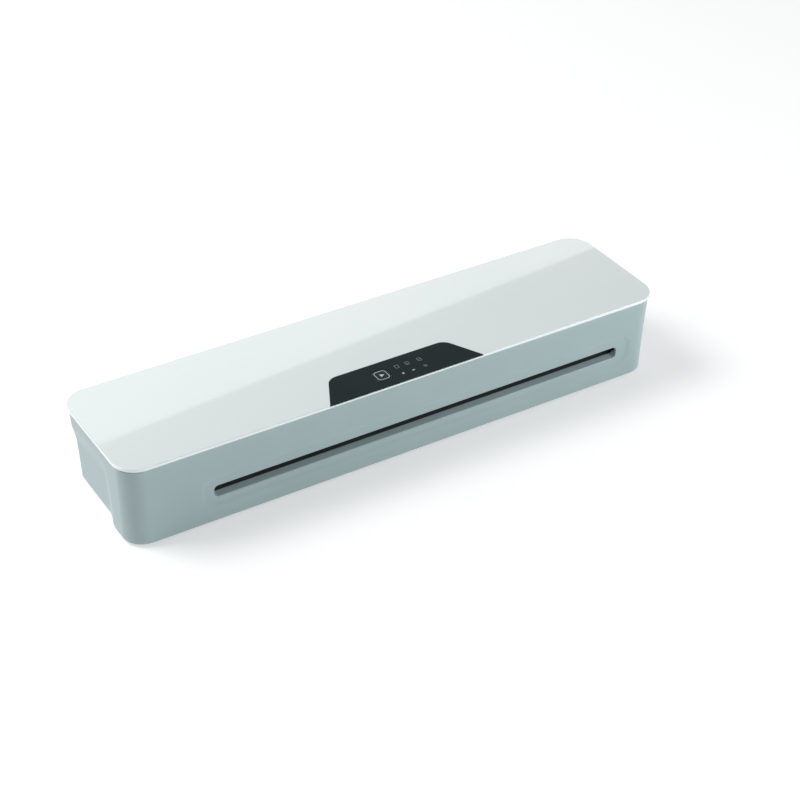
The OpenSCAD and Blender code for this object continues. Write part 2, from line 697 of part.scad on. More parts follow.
// ---- lift yoke: carries the upper rollers and rises on the cams
module yoke_side() {
  along_x(yoke_x0, yoke_x0 + yoke_t) difference() {
    polygon([[-row_y - 8, path_z + 1.2], [-12, path_z + 1.2], [-12, path_z + 8], [12, path_z + 8],
             [12, path_z + 1.2], [row_y + 8, path_z + 1.2], [row_y + 8, upper_z + 1],
             [release_y - 4.6, release_z - 5], [release_y - 5.2, tab_z], [release_y + 5, tab_z],
             [release_y + 5, tab_z + yoke_t], [row_y + 3, tab_z + yoke_t], [row_y + 3, yoke_top],
             [-row_y - 8, yoke_top]]);
    for (y = [-row_y, row_y]) translate([y, upper_z]) circle(bush_r);
  }
  block(yoke_x0, yoke_x0 + yoke_t + flange_w, -row_y - 4, row_y + 2.5, yoke_top - yoke_t, yoke_top);
  block(yoke_x0, yoke_x0 + yoke_t + flange_w, release_y - 5, release_y + 5, tab_z, tab_z + yoke_t);
}
module lift_yoke() {
  color([0.68, 0.69, 0.72]) {
    both_ends() yoke_side();
    block(yoke_x0, 2 * mid_x - yoke_x0, -7, 7, yoke_top - yoke_t, yoke_top);
  }
}
module upper_bushes() {
  color([0.9, 0.88, 0.8]) both_ends() for (y = [-row_y, row_y]) difference() {
    rod_x(frame_x0 - frame_t - bush_out, yoke_x0 + yoke_t + 1, y, upper_z, bush_r);
    rod_x(frame_x0 - 9, frame_x0 + 9, y, upper_z, core_r + run);
  }
}
module helix_spring(x, y, z0, z1) {
  turns = 4;
  per_turn = 12;
  wire_r = 0.35;
  sides = 6;
  rings = turns * per_turn;
  rise = z1 - z0 - 2 * wire_r;
  pts = [for (i = [0:rings]) let (a = 360 * i / per_turn)
    for (s = [0:sides - 1]) let (b = 360 * s / sides, r = spring_r - wire_r + wire_r * cos(b))
      [x + r * cos(a), y + r * sin(a), z0 + wire_r + rise * i / rings + wire_r * sin(b)]];
  polyhedron(points = pts, faces = concat(
    [[for (s = [0:sides - 1]) s]],
    [[for (s = [sides - 1:-1:0]) rings * sides + s]],
    [for (i = [0:rings - 1]) for (s = [0:sides - 1])
      let (a = i * sides + s, b = i * sides + (s + 1) % sides)
      each [[a, a + sides, b + sides], [a, b + sides, b]]]
  ));
}
module pressure_springs() {
  color([0.5, 0.51, 0.53]) both_ends() for (y = [-spring_y, spring_y])
    helix_spring(yoke_x0 + yoke_t + flange_w / 2, y, yoke_top, frame_top - frame_t);
}

// ---- release shaft, cams and lever
module release_shaft() {
  color([0.7, 0.71, 0.73])
    rod_x(frame_x0 - frame_t - 1.5, frame_x1 + frame_t + 1.5, release_y, release_z, release_r);
}
module release_cams() {
  color([0.9, 0.88, 0.8]) both_ends() difference() {
    rod_x(yoke_x0 + yoke_t + 0.5, yoke_x0 + yoke_t + 0.5 + cam_w,
          release_y - cam_offset * cos(rest_swing), release_z - cam_offset * sin(rest_swing), cam_r);
    rod_x(frame_x0, frame_x0 + 20, release_y, release_z, release_r);
  }
}
module release_lever() {
  color([0.25, 0.27, 0.28]) difference() {
    union() {
      rod_x(lever_x - lever_w / 2, lever_x + lever_w / 2, release_y, release_z, 5.2);
      translate([0, release_y, release_z]) rotate([rest_swing, 0, 0]) {
        along_x(lever_x - lever_w / 2, lever_x + lever_w / 2)
          polygon([[0, -2.4], [lever_r - 2.5, -2.4], [lever_r - 2.5, -3.2], [lever_r - 0.8, -3.2],
                   [lever_r, -2.2], [lever_r, 2.2], [lever_r - 0.8, 3.2], [lever_r - 2.5, 3.2],
                   [lever_r - 2.5, 2.4], [0, 2.4]]);
      }
    }
    rod_x(lever_x - 20, lever_x + 20, release_y, release_z, release_r);
  }
}

// ---- drive: idler, motor, bracket and pinion
module idler_stud() {
  color([0.7, 0.71, 0.73]) {
    rod_x(bracket_x1, frame_x0 - frame_t, 0, idler_z, stud_r);
    rod_x(frame_x0 - frame_t, frame_x0, 0, idler_z, stud_r - 1);
    rod_x(bracket_x0, bracket_x1, 0, idler_z, stud_r - 1);
  }
}
module idler_gear() {
  color([0.92, 0.9, 0.84]) difference() {
    gear(idler_x0, idler_x1, 0, idler_z, idler_teeth, idler_phase, stud_r + run);
    for (a = [0:60:300])
      rod_x(idler_x0 - 1, idler_x1 + 1, 9 * cos(a), idler_z + 9 * sin(a), 2.2);
  }
}
module motor() {
  color([0.75, 0.76, 0.78]) difference() {
    union() {
      rod_x(bracket_x0 - motor_w, bracket_x0, 0, motor_z, motor_r);
      rod_x(bracket_x0, bracket_x1 - 0.1, 0, pinion_z, 5);
      along_x(bracket_x0 - 1, bracket_x0) {
        translate([-motor_r - 8, motor_z - 5]) square([2 * motor_r + 16, 10]);
      }
    }
    rod_x(bracket_x0 - 5, bracket_x1 + 1, 0, pinion_z, motor_shaft_r + run);
    for (y = [-1, 1]) rod_x(bracket_x0 - 2, bracket_x1, y * (motor_r + 5), motor_z, screw_r);
  }
}
module motor_bracket() {
  color([0.72, 0.73, 0.75]) difference() {
    union() {
      along_x(bracket_x0, bracket_x1)
        polygon([[-34, floor_z], [34, floor_z], [34, motor_z + 7], [14, pinion_z + 8],
                 [-14, pinion_z + 8], [-34, motor_z + 7]]);
      block(bracket_x0 - 14, bracket_x1, -34, 34, floor_z, floor_z + frame_t);
    }
    rod_x(bracket_x0 - 1, bracket_x1 + 1, 0, pinion_z, 5);
    rod_x(bracket_x0 - 1, bracket_x1 + 1, 0, idler_z, stud_r - 1);
    for (y = [-1, 1]) rod_x(bracket_x0 - 1, bracket_x1 + 1, y * (motor_r + 5), motor_z, screw_r);
    for (y = [-28, 28]) translate([bracket_x0 - 8, y, 0]) cylinder(h = 12, r = screw_r);
  }
}
module motor_shaft() {
  color([0.7, 0.71, 0.73]) rod_x(bracket_x0 - 4.7, idler_x1 + 0.4, 0, pinion_z, motor_shaft_r);
}
module motor_pinion() {
  color([0.85, 0.72, 0.4])
    gear(idler_x0, idler_x1, 0, pinion_z, pinion_teeth, pinion_phase, motor_shaft_r);
}

// ---- electrics
board_x0 = -cavity_w / 2 + 7;
board_x1 = idler_x1 - 1;
board_y = -cavity_d / 2 + 2;
board_z0 = floor_z + boss_h + 3;
module main_board() {
  color([0.10, 0.35, 0.20]) difference() {
    block(board_x0, board_x1, board_y, board_y + 1.6, board_z0, cover_z - 4);
    for (x = [board_x0 + 4, board_x1 - 4]) for (z = [board_z0 + 4, cover_z - 8])
      rod_y(x, board_y - 1, board_y + 3, z, screw_r);
  }
}
module board_parts() {
  y0 = board_y + 1.6;
  color([0.18, 0.18, 0.2]) {
    block(board_x0 + 2, board_x0 + 14, y0, y0 + 8, board_z0 + 14, board_z0 + 26);
    rod_y(board_x0 + 7, y0, y0 + 9, board_z0 + 7, 4.5);
    block(board_x1 - 7, board_x1 - 1, y0, y0 + 6, board_z0 + 3, board_z0 + 18);
    block(board_x0 + 13, board_x0 + 16, y0, y0 + 4, board_z0 + 2, board_z0 + 9);
  }
}
module switch_housing() {
  x0 = switch_x - switch_w / 2;
  x1 = switch_x + switch_w / 2;
  z0 = switch_z - switch_h / 2;
  z1 = switch_z + switch_h / 2;
  face = face_y(switch_z);
  color([0.10, 0.10, 0.11]) difference() {
    union() {
      block(x0, x1, rocker_y - 10, face, z0, z1);
      block(x0 - bezel, x1 + bezel, face, face + 1.2, z0 - bezel, z1 + bezel);
      for (x = [-6, 0, 6])
        block(switch_x + x - 0.4, switch_x + x + 0.4, rocker_y - 14, rocker_y - 10,
              switch_z - 2.4, switch_z + 2.4);
    }
    block(x0 + 1.4, x1 - 1.4, rocker_y - 4, face + 5, z0 + 1.4, z1 - 1.4);
    translate([switch_x, rocker_y, z0 + 0.5]) cylinder(h = switch_h - 1, r = 1.2 + run);
  }
}
module power_rocker() {
  color([0.09, 0.09, 0.1]) translate([switch_x, rocker_y, switch_z]) rotate([0, 0, rocker_tilt]) {
    translate([0, 0, -4.9]) linear_extrude(9.8)
      polygon([[-7.5, -0.8], [0, -2.2], [7.5, -0.8], [7.5, 4.6], [0, 3.6], [-7.5, 4.6]]);
    translate([0, 0, -6]) cylinder(h = 12, r = 1.2);
  }
}
module cord_gland() {
  face = face_y(gland_z);
  color([0.10, 0.10, 0.11]) difference() {
    union() {
      rod_y(gland_x, cavity_d / 2 - 3, face + 0.5, gland_z, gland_r);
      rod_y(gland_x, face, face + 1.6, gland_z, gland_flange_r);
    }
    rod_y(gland_x, rear_in - 6, rear_out, gland_z, gland_bore_r);
  }
}
module wiring_leads() {
  y0 = board_y + 1.6;
  across = [1, 0, 0];
  top_z = cover_z - 4.4;
  color([0.85, 0.85, 0.82]) {
    // switched mains, from the switch to the main board
    lead([[switch_x - 6, rocker_y - 14, switch_z], [switch_x - 6, rocker_y - 18, switch_z + 5],
          [switch_x - 10, 25, top_z + 1], [switch_x - 10, -25, top_z + 1],
          [switch_x - 10, y0 + 4, top_z - 4], [switch_x - 10, y0, top_z - 6]], lead_r, across);
    lead([[switch_x, rocker_y - 14, switch_z], [switch_x, rocker_y - 18, switch_z + 5],
          [switch_x - 6, 25, top_z + 1], [switch_x - 6, -25, top_z + 1],
          [switch_x - 6, y0 + 4, top_z - 4], [switch_x - 6, y0, top_z - 6]], lead_r, across);
    // main board to control board
    lead([[board_x1 - 3, y0, top_z - 5], [board_x1 - 3, y0 + 4, top_z - 3],
          [frame_x0 + 2, -32.5, top_z - 1.6], [-60, -32.5, board_z - 3],
          [18, button_y + 2.5, board_z - 1.6], [26, button_y + 2.5, board_z - 1.6]], lead_r, [0, 0, 1]);
    // heater supply, from the heater's right end along the front to the main board
    lead([[slot_x1 - 6, 6, path_z + element_z + 1],
          [slot_x1 - 1, 6.5, path_z + element_z + 1.3], [frame_x1 - 4, lead_y, lead_z],
          [frame_x1 + 6, lead_y, lead_z + 2], [frame_x1 + 6, -20, upper_z + 10],
          [frame_x1 - 4, -40.5, upper_z + 12], [frame_x1 - 122, -40.5, upper_z + 12],
          [frame_x0 + 20, -40.5, upper_z + 12], [board_x1 + 3, y0 + 2, upper_z + 9],
          [board_x1 - 2, y0 + 1.2, upper_z + 8]], lead_r, [0.1, 0.2, 1]);
  }
}

body_shell();
base_plate();
top_cover();
panel_lens();
start_button();
lower_entry_guide();
upper_entry_guide();
lower_exit_guide();
upper_exit_guide();
rubber_feet();
base_screws();
machine_screws();
left_frame();
right_frame();
tie_rods();
lower_heater_plate();
upper_heater_plate();
lower_heater_element();
upper_heater_element();
lower_heat_shield();
upper_heat_shield();
thermal_cutout();
thermistor();
lower_bushes();
upper_bushes();
lift_yoke();
pressure_springs();
lower_front_core();
lower_front_sleeve();
lower_front_gear();
lower_front_clips();
lower_rear_core();
lower_rear_sleeve();
lower_rear_gear();
lower_rear_clips();
upper_front_core();
upper_front_sleeve();
upper_front_gear();
upper_rear_core();
upper_rear_sleeve();
upper_rear_gear();
idler_stud();
idler_gear();
motor();
motor_bracket();
motor_shaft();
motor_pinion();
release_shaft();
release_cams();
release_lever();
main_board();
board_parts();
control_board();
light_guides();
switch_housing();
power_rocker();
cord_gland();
wiring_leads();
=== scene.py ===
import json
import math

import bmesh
import bpy
from mathutils import Matrix, Quaternion, Vector

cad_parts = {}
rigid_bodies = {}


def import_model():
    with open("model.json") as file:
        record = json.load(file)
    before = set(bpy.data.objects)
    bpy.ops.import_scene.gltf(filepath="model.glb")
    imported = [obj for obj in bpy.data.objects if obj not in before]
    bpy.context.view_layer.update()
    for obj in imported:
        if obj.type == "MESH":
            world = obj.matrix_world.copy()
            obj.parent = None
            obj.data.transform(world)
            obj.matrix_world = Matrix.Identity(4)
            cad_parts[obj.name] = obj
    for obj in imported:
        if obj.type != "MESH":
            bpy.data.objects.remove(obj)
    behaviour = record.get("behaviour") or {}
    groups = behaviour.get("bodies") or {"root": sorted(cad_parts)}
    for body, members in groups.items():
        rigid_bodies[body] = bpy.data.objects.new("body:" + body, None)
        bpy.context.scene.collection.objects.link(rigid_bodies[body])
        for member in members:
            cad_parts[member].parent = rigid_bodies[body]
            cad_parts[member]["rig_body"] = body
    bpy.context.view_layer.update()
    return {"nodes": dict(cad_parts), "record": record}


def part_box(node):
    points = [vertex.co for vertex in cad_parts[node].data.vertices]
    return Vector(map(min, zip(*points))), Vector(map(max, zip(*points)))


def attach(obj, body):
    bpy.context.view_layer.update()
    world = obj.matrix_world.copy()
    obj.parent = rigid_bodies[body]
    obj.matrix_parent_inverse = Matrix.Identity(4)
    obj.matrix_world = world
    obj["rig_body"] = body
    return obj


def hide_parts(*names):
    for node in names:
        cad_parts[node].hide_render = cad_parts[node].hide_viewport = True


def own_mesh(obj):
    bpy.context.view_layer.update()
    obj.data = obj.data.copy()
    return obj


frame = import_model()
nodes = frame["nodes"]
mm = 0.001
print("frame loaded:", len(nodes), "CAD nodes")


# ---- camera, floor and light
def addCamera():
    view = {"azimuth": -31.09, "elevation": 34.61, "distance": 1339, "target": (23, 0, 10.2), "lens": 86}
    azimuth, elevation = math.radians(view["azimuth"]), math.radians(view["elevation"])
    back = Vector((
        math.sin(azimuth) * math.cos(elevation),
        -math.cos(azimuth) * math.cos(elevation),
        math.sin(elevation),
    ))
    camera = bpy.data.objects.new("camera", bpy.data.cameras.new("camera"))
    camera.data.lens = view["lens"]
    camera.data.clip_end = 100
    camera.location = (Vector(view["target"]) + back * view["distance"]) * mm
    camera.rotation_mode = "QUATERNION"
    camera.rotation_quaternion = (-back).to_track_quat("-Z", "Y")
    bpy.context.scene.collection.objects.link(camera)
    bpy.context.scene.camera = camera


def hexColour(code):
    # sRGB hex to the linear colour that the nodes take
    parts = [int(code[i:i + 2], 16) / 255 for i in (0, 2, 4)]
    return tuple(p / 12.92 if p <= 0.04045 else ((p + 0.055) / 1.055) ** 2.4 for p in parts) + (1,)


def addNode(tree, kind, settings=(), values=(), links=()):
    # settings are the node's own, values and links go to its sockets
    node = tree.nodes.new("ShaderNode" + kind)
    for name, value in dict(settings).items():
        setattr(node, name, value)
    for name, value in dict(values).items():
        node.inputs[name].default_value = value
    for name, source in dict(links).items():
        tree.links.new(source, node.inputs[name])
    return node


def addFloor():
    floor = {"half": 12, "colour": "D8D9DA", "glow": 0.43}
    deselectAll()
    bpy.ops.mesh.primitive_plane_add(size=2 * floor["half"])
    plane = bpy.context.active_object
    plane.name = "floor"
    material = bpy.data.materials.new("floorPaper")
    material.use_nodes = True
    shader = material.node_tree.nodes["Principled BSDF"]
    shader.inputs["Base Color"].default_value = hexColour(floor["colour"])
    shader.inputs["Roughness"].default_value = 0.9
    shader.inputs["Emission Color"].default_value = (1, 1, 1, 1)
    shader.inputs["Emission Strength"].default_value = floor["glow"]
    plane.data.materials.append(material)


def addPanel(name, centre, target, width, height, power, roll=0):
    light = bpy.data.lights.new(name, "AREA")
    light.shape = "RECTANGLE"
    light.size, light.size_y = width, height
    light.energy = power
    panel = bpy.data.objects.new(name, light)
    panel.location = centre
    panel.rotation_mode = "QUATERNION"
    aim = (Vector(target) - Vector(centre)).to_track_quat("-Z", "Y")
    panel.rotation_quaternion = aim @ Quaternion((0, 0, 1), math.radians(roll))
    panel.visible_camera = False
    bpy.context.scene.collection.objects.link(panel)


def addLight():
    # a soft light high at the rear left, a low one at the right, and a bright wall that the cover mirrors
    world = bpy.data.worlds.new("studio")
    world.use_nodes = True
    background = world.node_tree.nodes["Background"]
    background.inputs["Color"].default_value = (1, 1, 1, 1)
    background.inputs["Strength"].default_value = 0.22
    bpy.context.scene.world = world
    bpy.context.scene.view_settings.view_transform = "Standard"
    addPanel("highPanel", (-1.15, 0.75, 1.65), (0, 0, 0), 1.2, 1.2, 34)
    addPanel("lowPanel", (0.95, -0.95, 0.35), (0.1, 0, 0.03), 0.5, 0.5, 8.6)
    addPanel("wallPanel", (0.9, 2, 0.96), (0.9, 0, 0.96), 3.4, 1.2, 13, roll=4.3)


# ---- modelling helpers
def deselectAll():
    if bpy.context.mode != "OBJECT":
        bpy.ops.object.mode_set(mode="OBJECT")
    bpy.ops.object.select_all(action="DESELECT")


def makeActive(piece):
    deselectAll()
    piece.select_set(True)
    bpy.context.view_layer.objects.active = piece


def keepPlace():
    bpy.ops.object.transform_apply(location=True, rotation=True, scale=True)
    return bpy.context.active_object


def addBlock(name, low, high):
    # a box between two corners in mm
    deselectAll()
    bpy.ops.mesh.primitive_cube_add(
        size=1,
        location=[(a + b) / 2 * mm for a, b in zip(low, high)],
        scale=[(b - a) * mm for a, b in zip(low, high)],
    )
    bpy.context.active_object.name = name
    return keepPlace()


def addRod(name, radius, start, length, axis="z", sides=48):
    # a round rod from a point in mm, along x, y or z
    deselectAll()
    turn = {"x": (0, math.pi / 2, 0), "y": (-math.pi / 2, 0, 0), "z": (0, 0, 0)}[axis]
    step = {"x": (1, 0, 0), "y": (0, 1, 0), "z": (0, 0, 1)}[axis]
    bpy.ops.mesh.primitive_cylinder_add(
        vertices=sides, radius=radius * mm, depth=length * mm, rotation=turn,
        location=[(s + d * length / 2) * mm for s, d in zip(start, step)],
    )
    bpy.context.active_object.name = name
    return keepPlace()


def pick(piece, kind, test):
    # in edit mode, selects the faces, edges or verts that pass the test
    bpy.ops.mesh.select_mode(type=kind)
    bpy.ops.mesh.select_all(action="DESELECT")
    mesh = bmesh.from_edit_mesh(piece.data)
    for item in {"FACE": mesh.faces, "EDGE": mesh.edges, "VERT": mesh.verts}[kind]:
        if test(item):
            item.select_set(True)
    bmesh.update_edit_mesh(piece.data)


def roundEdges(piece, test, radius, segments):
    makeActive(piece)
    bpy.ops.object.mode_set(mode="EDIT")
    pick(piece, "EDGE", test)
    bpy.ops.mesh.bevel(offset=radius * mm, segments=segments, profile=0.5, affect="EDGES")
    bpy.ops.object.mode_set(mode="OBJECT")


def upright(edge):
    a, b = (v.co for v in edge.verts)
    return abs(a.z - b.z) > 0.9 * (a - b).length and (a - b).length > 0


def alongY(edge):
    a, b = (v.co for v in edge.verts)
    return abs(a.y - b.y) > 0.9 * (a - b).length and (a - b).length > 0


def atHeight(z):
    return lambda edge: all(abs(v.co.z - z * mm) < 1e-6 for v in edge.verts)


def sharp(degrees=40):
    return lambda edge: edge.is_manifold and edge.calc_face_angle(0) > math.radians(degrees)


def addPlanBlock(name, width, depth, z0, z1, radius, segments=12):
    block = addBlock(name, (-width / 2, -depth / 2, z0), (width / 2, depth / 2, z1))
    roundEdges(block, upright, radius, segments)
    return block


def combine(piece, tool, operation="DIFFERENCE"):
    makeActive(piece)
    modifier = piece.modifiers.new("combine", "BOOLEAN")
    modifier.operation = operation
    modifier.solver = "EXACT"
    modifier.object = tool
    bpy.ops.object.modifier_apply(modifier=modifier.name)
    bpy.data.objects.remove(tool, do_unlink=True)


def joinPieces(pieces, name):
    makeActive(pieces[0])
    for piece in pieces[1:]:
        piece.select_set(True)
    bpy.ops.object.join()
    pieces[0].name = name
    return pieces[0]


def smoothBy(piece, degrees):
    makeActive(piece)
    bpy.ops.object.shade_smooth_by_angle(angle=math.radians(degrees))
    modifier = piece.modifiers.new("weighted", "WEIGHTED_NORMAL")
    modifier.keep_sharp = True
    bpy.ops.object.modifier_apply(modifier=modifier.name)


def addBisects(piece, cuts):
    # cuts holds an axis number and the places of its planes in mm
    makeActive(piece)
    bpy.ops.object.mode_set(mode="EDIT")
    for axis, places in cuts:
        for place in places:
            bpy.ops.mesh.select_all(action="SELECT")
            spot, normal = [0, 0, 0], [0, 0, 0]
            spot[axis], normal[axis] = place * mm, 1
            bpy.ops.mesh.bisect(plane_co=spot, plane_no=normal)
    bpy.ops.object.mode_set(mode="OBJECT")


def steps(first, last, gap):
    count = max(1, round((last - first) / gap))
    return [first + (last - first) * i / count for i in range(count + 1)]


def smooth(t):
    t = max(0.0, min(1.0, t))
    return t * t * (3 - 2 * t)


def finishPiece(piece, body, slotName, material, *replaced):
    piece.data.materials.clear()
    piece.data.materials.append(material)
    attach(piece, body)
    if replaced:
        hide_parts(*replaced)


# ---- materials
def startMaterial(name, colour, roughness, metallic=0.0, ior=None):
    material = bpy.data.materials.new(name)
    material.use_nodes = True
    tree = material.node_tree
    shader = tree.nodes["Principled BSDF"]
    shader.inputs["Base Color"].default_value = hexColour(colour)
    shader.inputs["Roughness"].default_value = roughness
    shader.inputs["Metallic"].default_value = metallic
    if ior:
        shader.inputs["IOR"].default_value = ior
    place = addNode(tree, "TexCoord").outputs["Object"]
    return material, tree, shader, place


def addGrain(tree, shader, place, size, depth, strength, detail=2.0):
    # a moulded or blasted grain, size and depth in mm
    noise = addNode(
        tree, "TexNoise", values={"Scale": 1 / (size * mm), "Detail": detail}, links={"Vector": place},
    )
    bump = addNode(
        tree, "Bump", values={"Distance": depth * mm, "Strength": strength},
        links={"Height": noise.outputs["Fac"]},
    )
    tree.links.new(bump.outputs["Normal"], shader.inputs["Normal"])


def addPatches(tree, shader, place, size, first, second, socket="Base Color", stretch=(1, 1, 1)):
    # broad soft variation between two colours or two values, size in mm
    turn = addNode(tree, "Mapping", values={"Scale": stretch}, links={"Vector": place})
    noise = addNode(
        tree, "TexNoise", values={"Scale": 1 / (size * mm), "Detail": 3},
        links={"Vector": turn.outputs["Vector"]},
    )
    ramp = addNode(tree, "ValToRGB", links={"Fac": noise.outputs["Fac"]})
    ramp.color_ramp.elements[0].position = 0.3
    ramp.color_ramp.elements[1].position = 0.7
    for element, value in zip(ramp.color_ramp.elements, (first, second)):
        element.color = hexColour(value) if isinstance(value, str) else (value, value, value, 1)
    tree.links.new(ramp.outputs["Color"], shader.inputs[socket])


def caseAbs():
    # injection-moulded ABS with a fine spark-eroded texture: satin, with a soft broad highlight
    material, tree, shader, place = startMaterial("satinAbsBlueGrey", "9CB0B2", 0.34, ior=1.53)
    addPatches(tree, shader, place, 60, "9AAEB0", "9EB2B4")
    addGrain(tree, shader, place, 0.55, 0.012, 0.35)
    return material


def coverAbs():
    # polished high-gloss ABS: white, mirror-like, with the slight waviness of a thin moulded sheet
    material, tree, shader, place = startMaterial("glossAbsWhite", "E9F1F1", 0.22, ior=1.6)
    shader.inputs["Coat Weight"].default_value = 1
    shader.inputs["Coat IOR"].default_value = 1.7
    shader.inputs["Coat Roughness"].default_value = 0.025
    addPatches(tree, shader, place, 90, "E8F1F1", "EBF3F3")
    addGrain(tree, shader, place, 22, 0.004, 0.5, 0)
    return material


def lensAcrylic():
    # back-painted acrylic: deep blue-black under a clear gloss
    material, tree, shader, place = startMaterial("backPaintedAcrylic", "1E2A2C", 0.06, ior=1.49)
    shader.inputs["Specular IOR Level"].default_value = 0.3
    addPatches(tree, shader, place, 40, "1C282A", "202D2F")
    addGrain(tree, shader, place, 18, 0.002, 0.4, 0)
    return material


def buttonAbs():
    # satin black ABS key top, a touch softer than the lens around it
    material, tree, shader, place = startMaterial("satinAbsBlack", "1E2A2C", 0.14, ior=1.5)
    shader.inputs["Specular IOR Level"].default_value = 0.3
    addPatches(tree, shader, place, 8, 0.12, 0.17, "Roughness")
    addGrain(tree, shader, place, 0.3, 0.003, 0.3)
    return material


def inkWhite():
    # screen-printed white ink: flat and bright, with slightly uneven cover
    material, tree, shader, place = startMaterial("screenInkWhite", "C4CCCC", 0.5)
    addPatches(tree, shader, place, 0.8, "BCC4C4", "CCD4D4")
    return material


def inkGrey():
    # thin grey ink over an unlit window: barely lighter than the lens
    material, tree, shader, place = startMaterial("screenInkGrey", "6C7779", 0.5)
    addPatches(tree, shader, place, 0.8, "667174", "727D7F")
    return material


def litDot():
    # frosted window with a lamp behind it: a soft white glow
    material, tree, shader, place = startMaterial("litWindow", "8E9A9B", 0.4)
    shader.inputs["Emission Color"].default_value = hexColour("E8F2F2")
    shader.inputs["Emission Strength"].default_value = 0.12
    addPatches(tree, shader, place, 1.2, "869293", "9AA6A7")
    return material


def plainPlastic(name, colour, second, roughness, grain, depth):
    # moulded engineering plastic: soft sheen, fine grain, slight shade changes
    material, tree, shader, place = startMaterial(name, colour, roughness, ior=1.52)
    addPatches(tree, shader, place, 25, colour, second)
    addGrain(tree, shader, place, grain, depth, 0.4)
    return material


def footRubber():
    # moulded nitrile rubber: matt black that holds dust in its grain
    material, tree, shader, place = startMaterial("nitrileRubber", "1C1D1E", 0.75)
    addPatches(tree, shader, place, 3, "191A1B", "2A2B2C")
    addGrain(tree, shader, place, 0.5, 0.05, 0.6)
    return material


def plainSteel(name, colour, second, roughness, patch, stretch=(1, 1, 1), grain=0.3, depth=0.003):
    # metal with broad tone changes and a fine surface, stretched along the way that it was worked
    material, tree, shader, place = startMaterial(name, colour, roughness, metallic=1.0)
    addPatches(tree, shader, place, patch, colour, second, stretch=stretch)
    turn = addNode(tree, "Mapping", values={"Scale": stretch}, links={"Vector": place})
    addGrain(tree, shader, turn.outputs["Vector"], grain, depth, 0.5)
    return material


def sheetSteel():
    # hot-dip galvanised sheet: pale grey spangle about 6 mm across
    material, tree, shader, place = startMaterial("galvanisedSheet", "A9ADB0", 0.42, metallic=1.0)
    spangle = addNode(tree, "TexVoronoi", values={"Scale": 1 / (6 * mm)}, links={"Vector": place})
    ramp = addNode(tree, "ValToRGB", links={"Fac": spangle.outputs["Color"]})
    ramp.color_ramp.elements[0].color = hexColour("9FA4A8")
    ramp.color_ramp.elements[1].color = hexColour("B9BDC0")
    tree.links.new(ramp.outputs["Color"], shader.inputs["Base Color"])
    rough = addNode(
        tree, "MapRange", values={"To Min": 0.34, "To Max": 0.5}, links={"Value": spangle.outputs["Color"]},
    )
    tree.links.new(rough.outputs["Result"], shader.inputs["Roughness"])
    addGrain(tree, shader, place, 0.4, 0.004, 0.4)
    return material


def heaterMica():
    # mica laminate: golden brown with pale flakes about 1.5 mm across
    material, tree, shader, place = startMaterial("micaLaminate", "B39A63", 0.4)
    flakes = addNode(tree, "TexVoronoi", values={"Scale": 1 / (1.5 * mm)}, links={"Vector": place})
    ramp = addNode(tree, "ValToRGB", links={"Fac": flakes.outputs["Color"]})
    ramp.color_ramp.elements[0].color = hexColour("8F7645")
    ramp.color_ramp.elements[1].color = hexColour("D2BC86")
    tree.links.new(ramp.outputs["Color"], shader.inputs["Base Color"])
    addGrain(tree, shader, place, 0.6, 0.01, 0.4)
    return material


def rollerSilicone():
    # cast silicone ground to size: soft charcoal satin with a faint ground texture
    material, tree, shader, place = startMaterial("groundSilicone", "45484A", 0.48)
    shader.inputs["Subsurface Weight"].default_value = 0.1
    shader.inputs["Subsurface Scale"].default_value = 1.5 * mm
    addPatches(tree, shader, place, 14, "424547", "4C4F51")
    addGrain(tree, shader, place, 0.5, 0.01, 0.5)
    return material


def gearNylon():
    # moulded nylon: waxy off-white that lets a little light in
    material, tree, shader, place = startMaterial("nylonNatural", "E4DFD0", 0.34, ior=1.53)
    shader.inputs["Subsurface Weight"].default_value = 0.25
    shader.inputs["Subsurface Scale"].default_value = 1.2 * mm
    addPatches(tree, shader, place, 10, "DFD9C8", "E9E5D8")
    addGrain(tree, shader, place, 0.5, 0.008, 0.4)
    return material


def boardGreen():
    # fibreglass board under green solder mask, with copper tracks 1.2 mm apart showing through
    material, tree, shader, place = startMaterial("solderMaskGreen", "1F5A38", 0.3)
    tracks = addNode(
        tree, "TexBrick", settings={"offset": 0.37, "squash": 0.6},
        values={"Scale": 1 / (6 * mm), "Mortar Size": 0.035, "Color1": hexColour("1B5433"),
                "Color2": hexColour("226340"), "Mortar": hexColour("3C8457")},
        links={"Vector": place},
    )
    tree.links.new(tracks.outputs["Color"], shader.inputs["Base Color"])
    addGrain(tree, shader, place, 0.6, 0.005, 0.4)
    return material


def clearGuide(name, colour, glow):
    # clear moulded acrylic or glass: bright, slightly frosted ends
    material, tree, shader, place = startMaterial(name, colour, 0.12, ior=1.49)
    shader.inputs["Transmission Weight"].default_value = glow
    addPatches(tree, shader, place, 4, 0.08, 0.2, "Roughness")
    return material


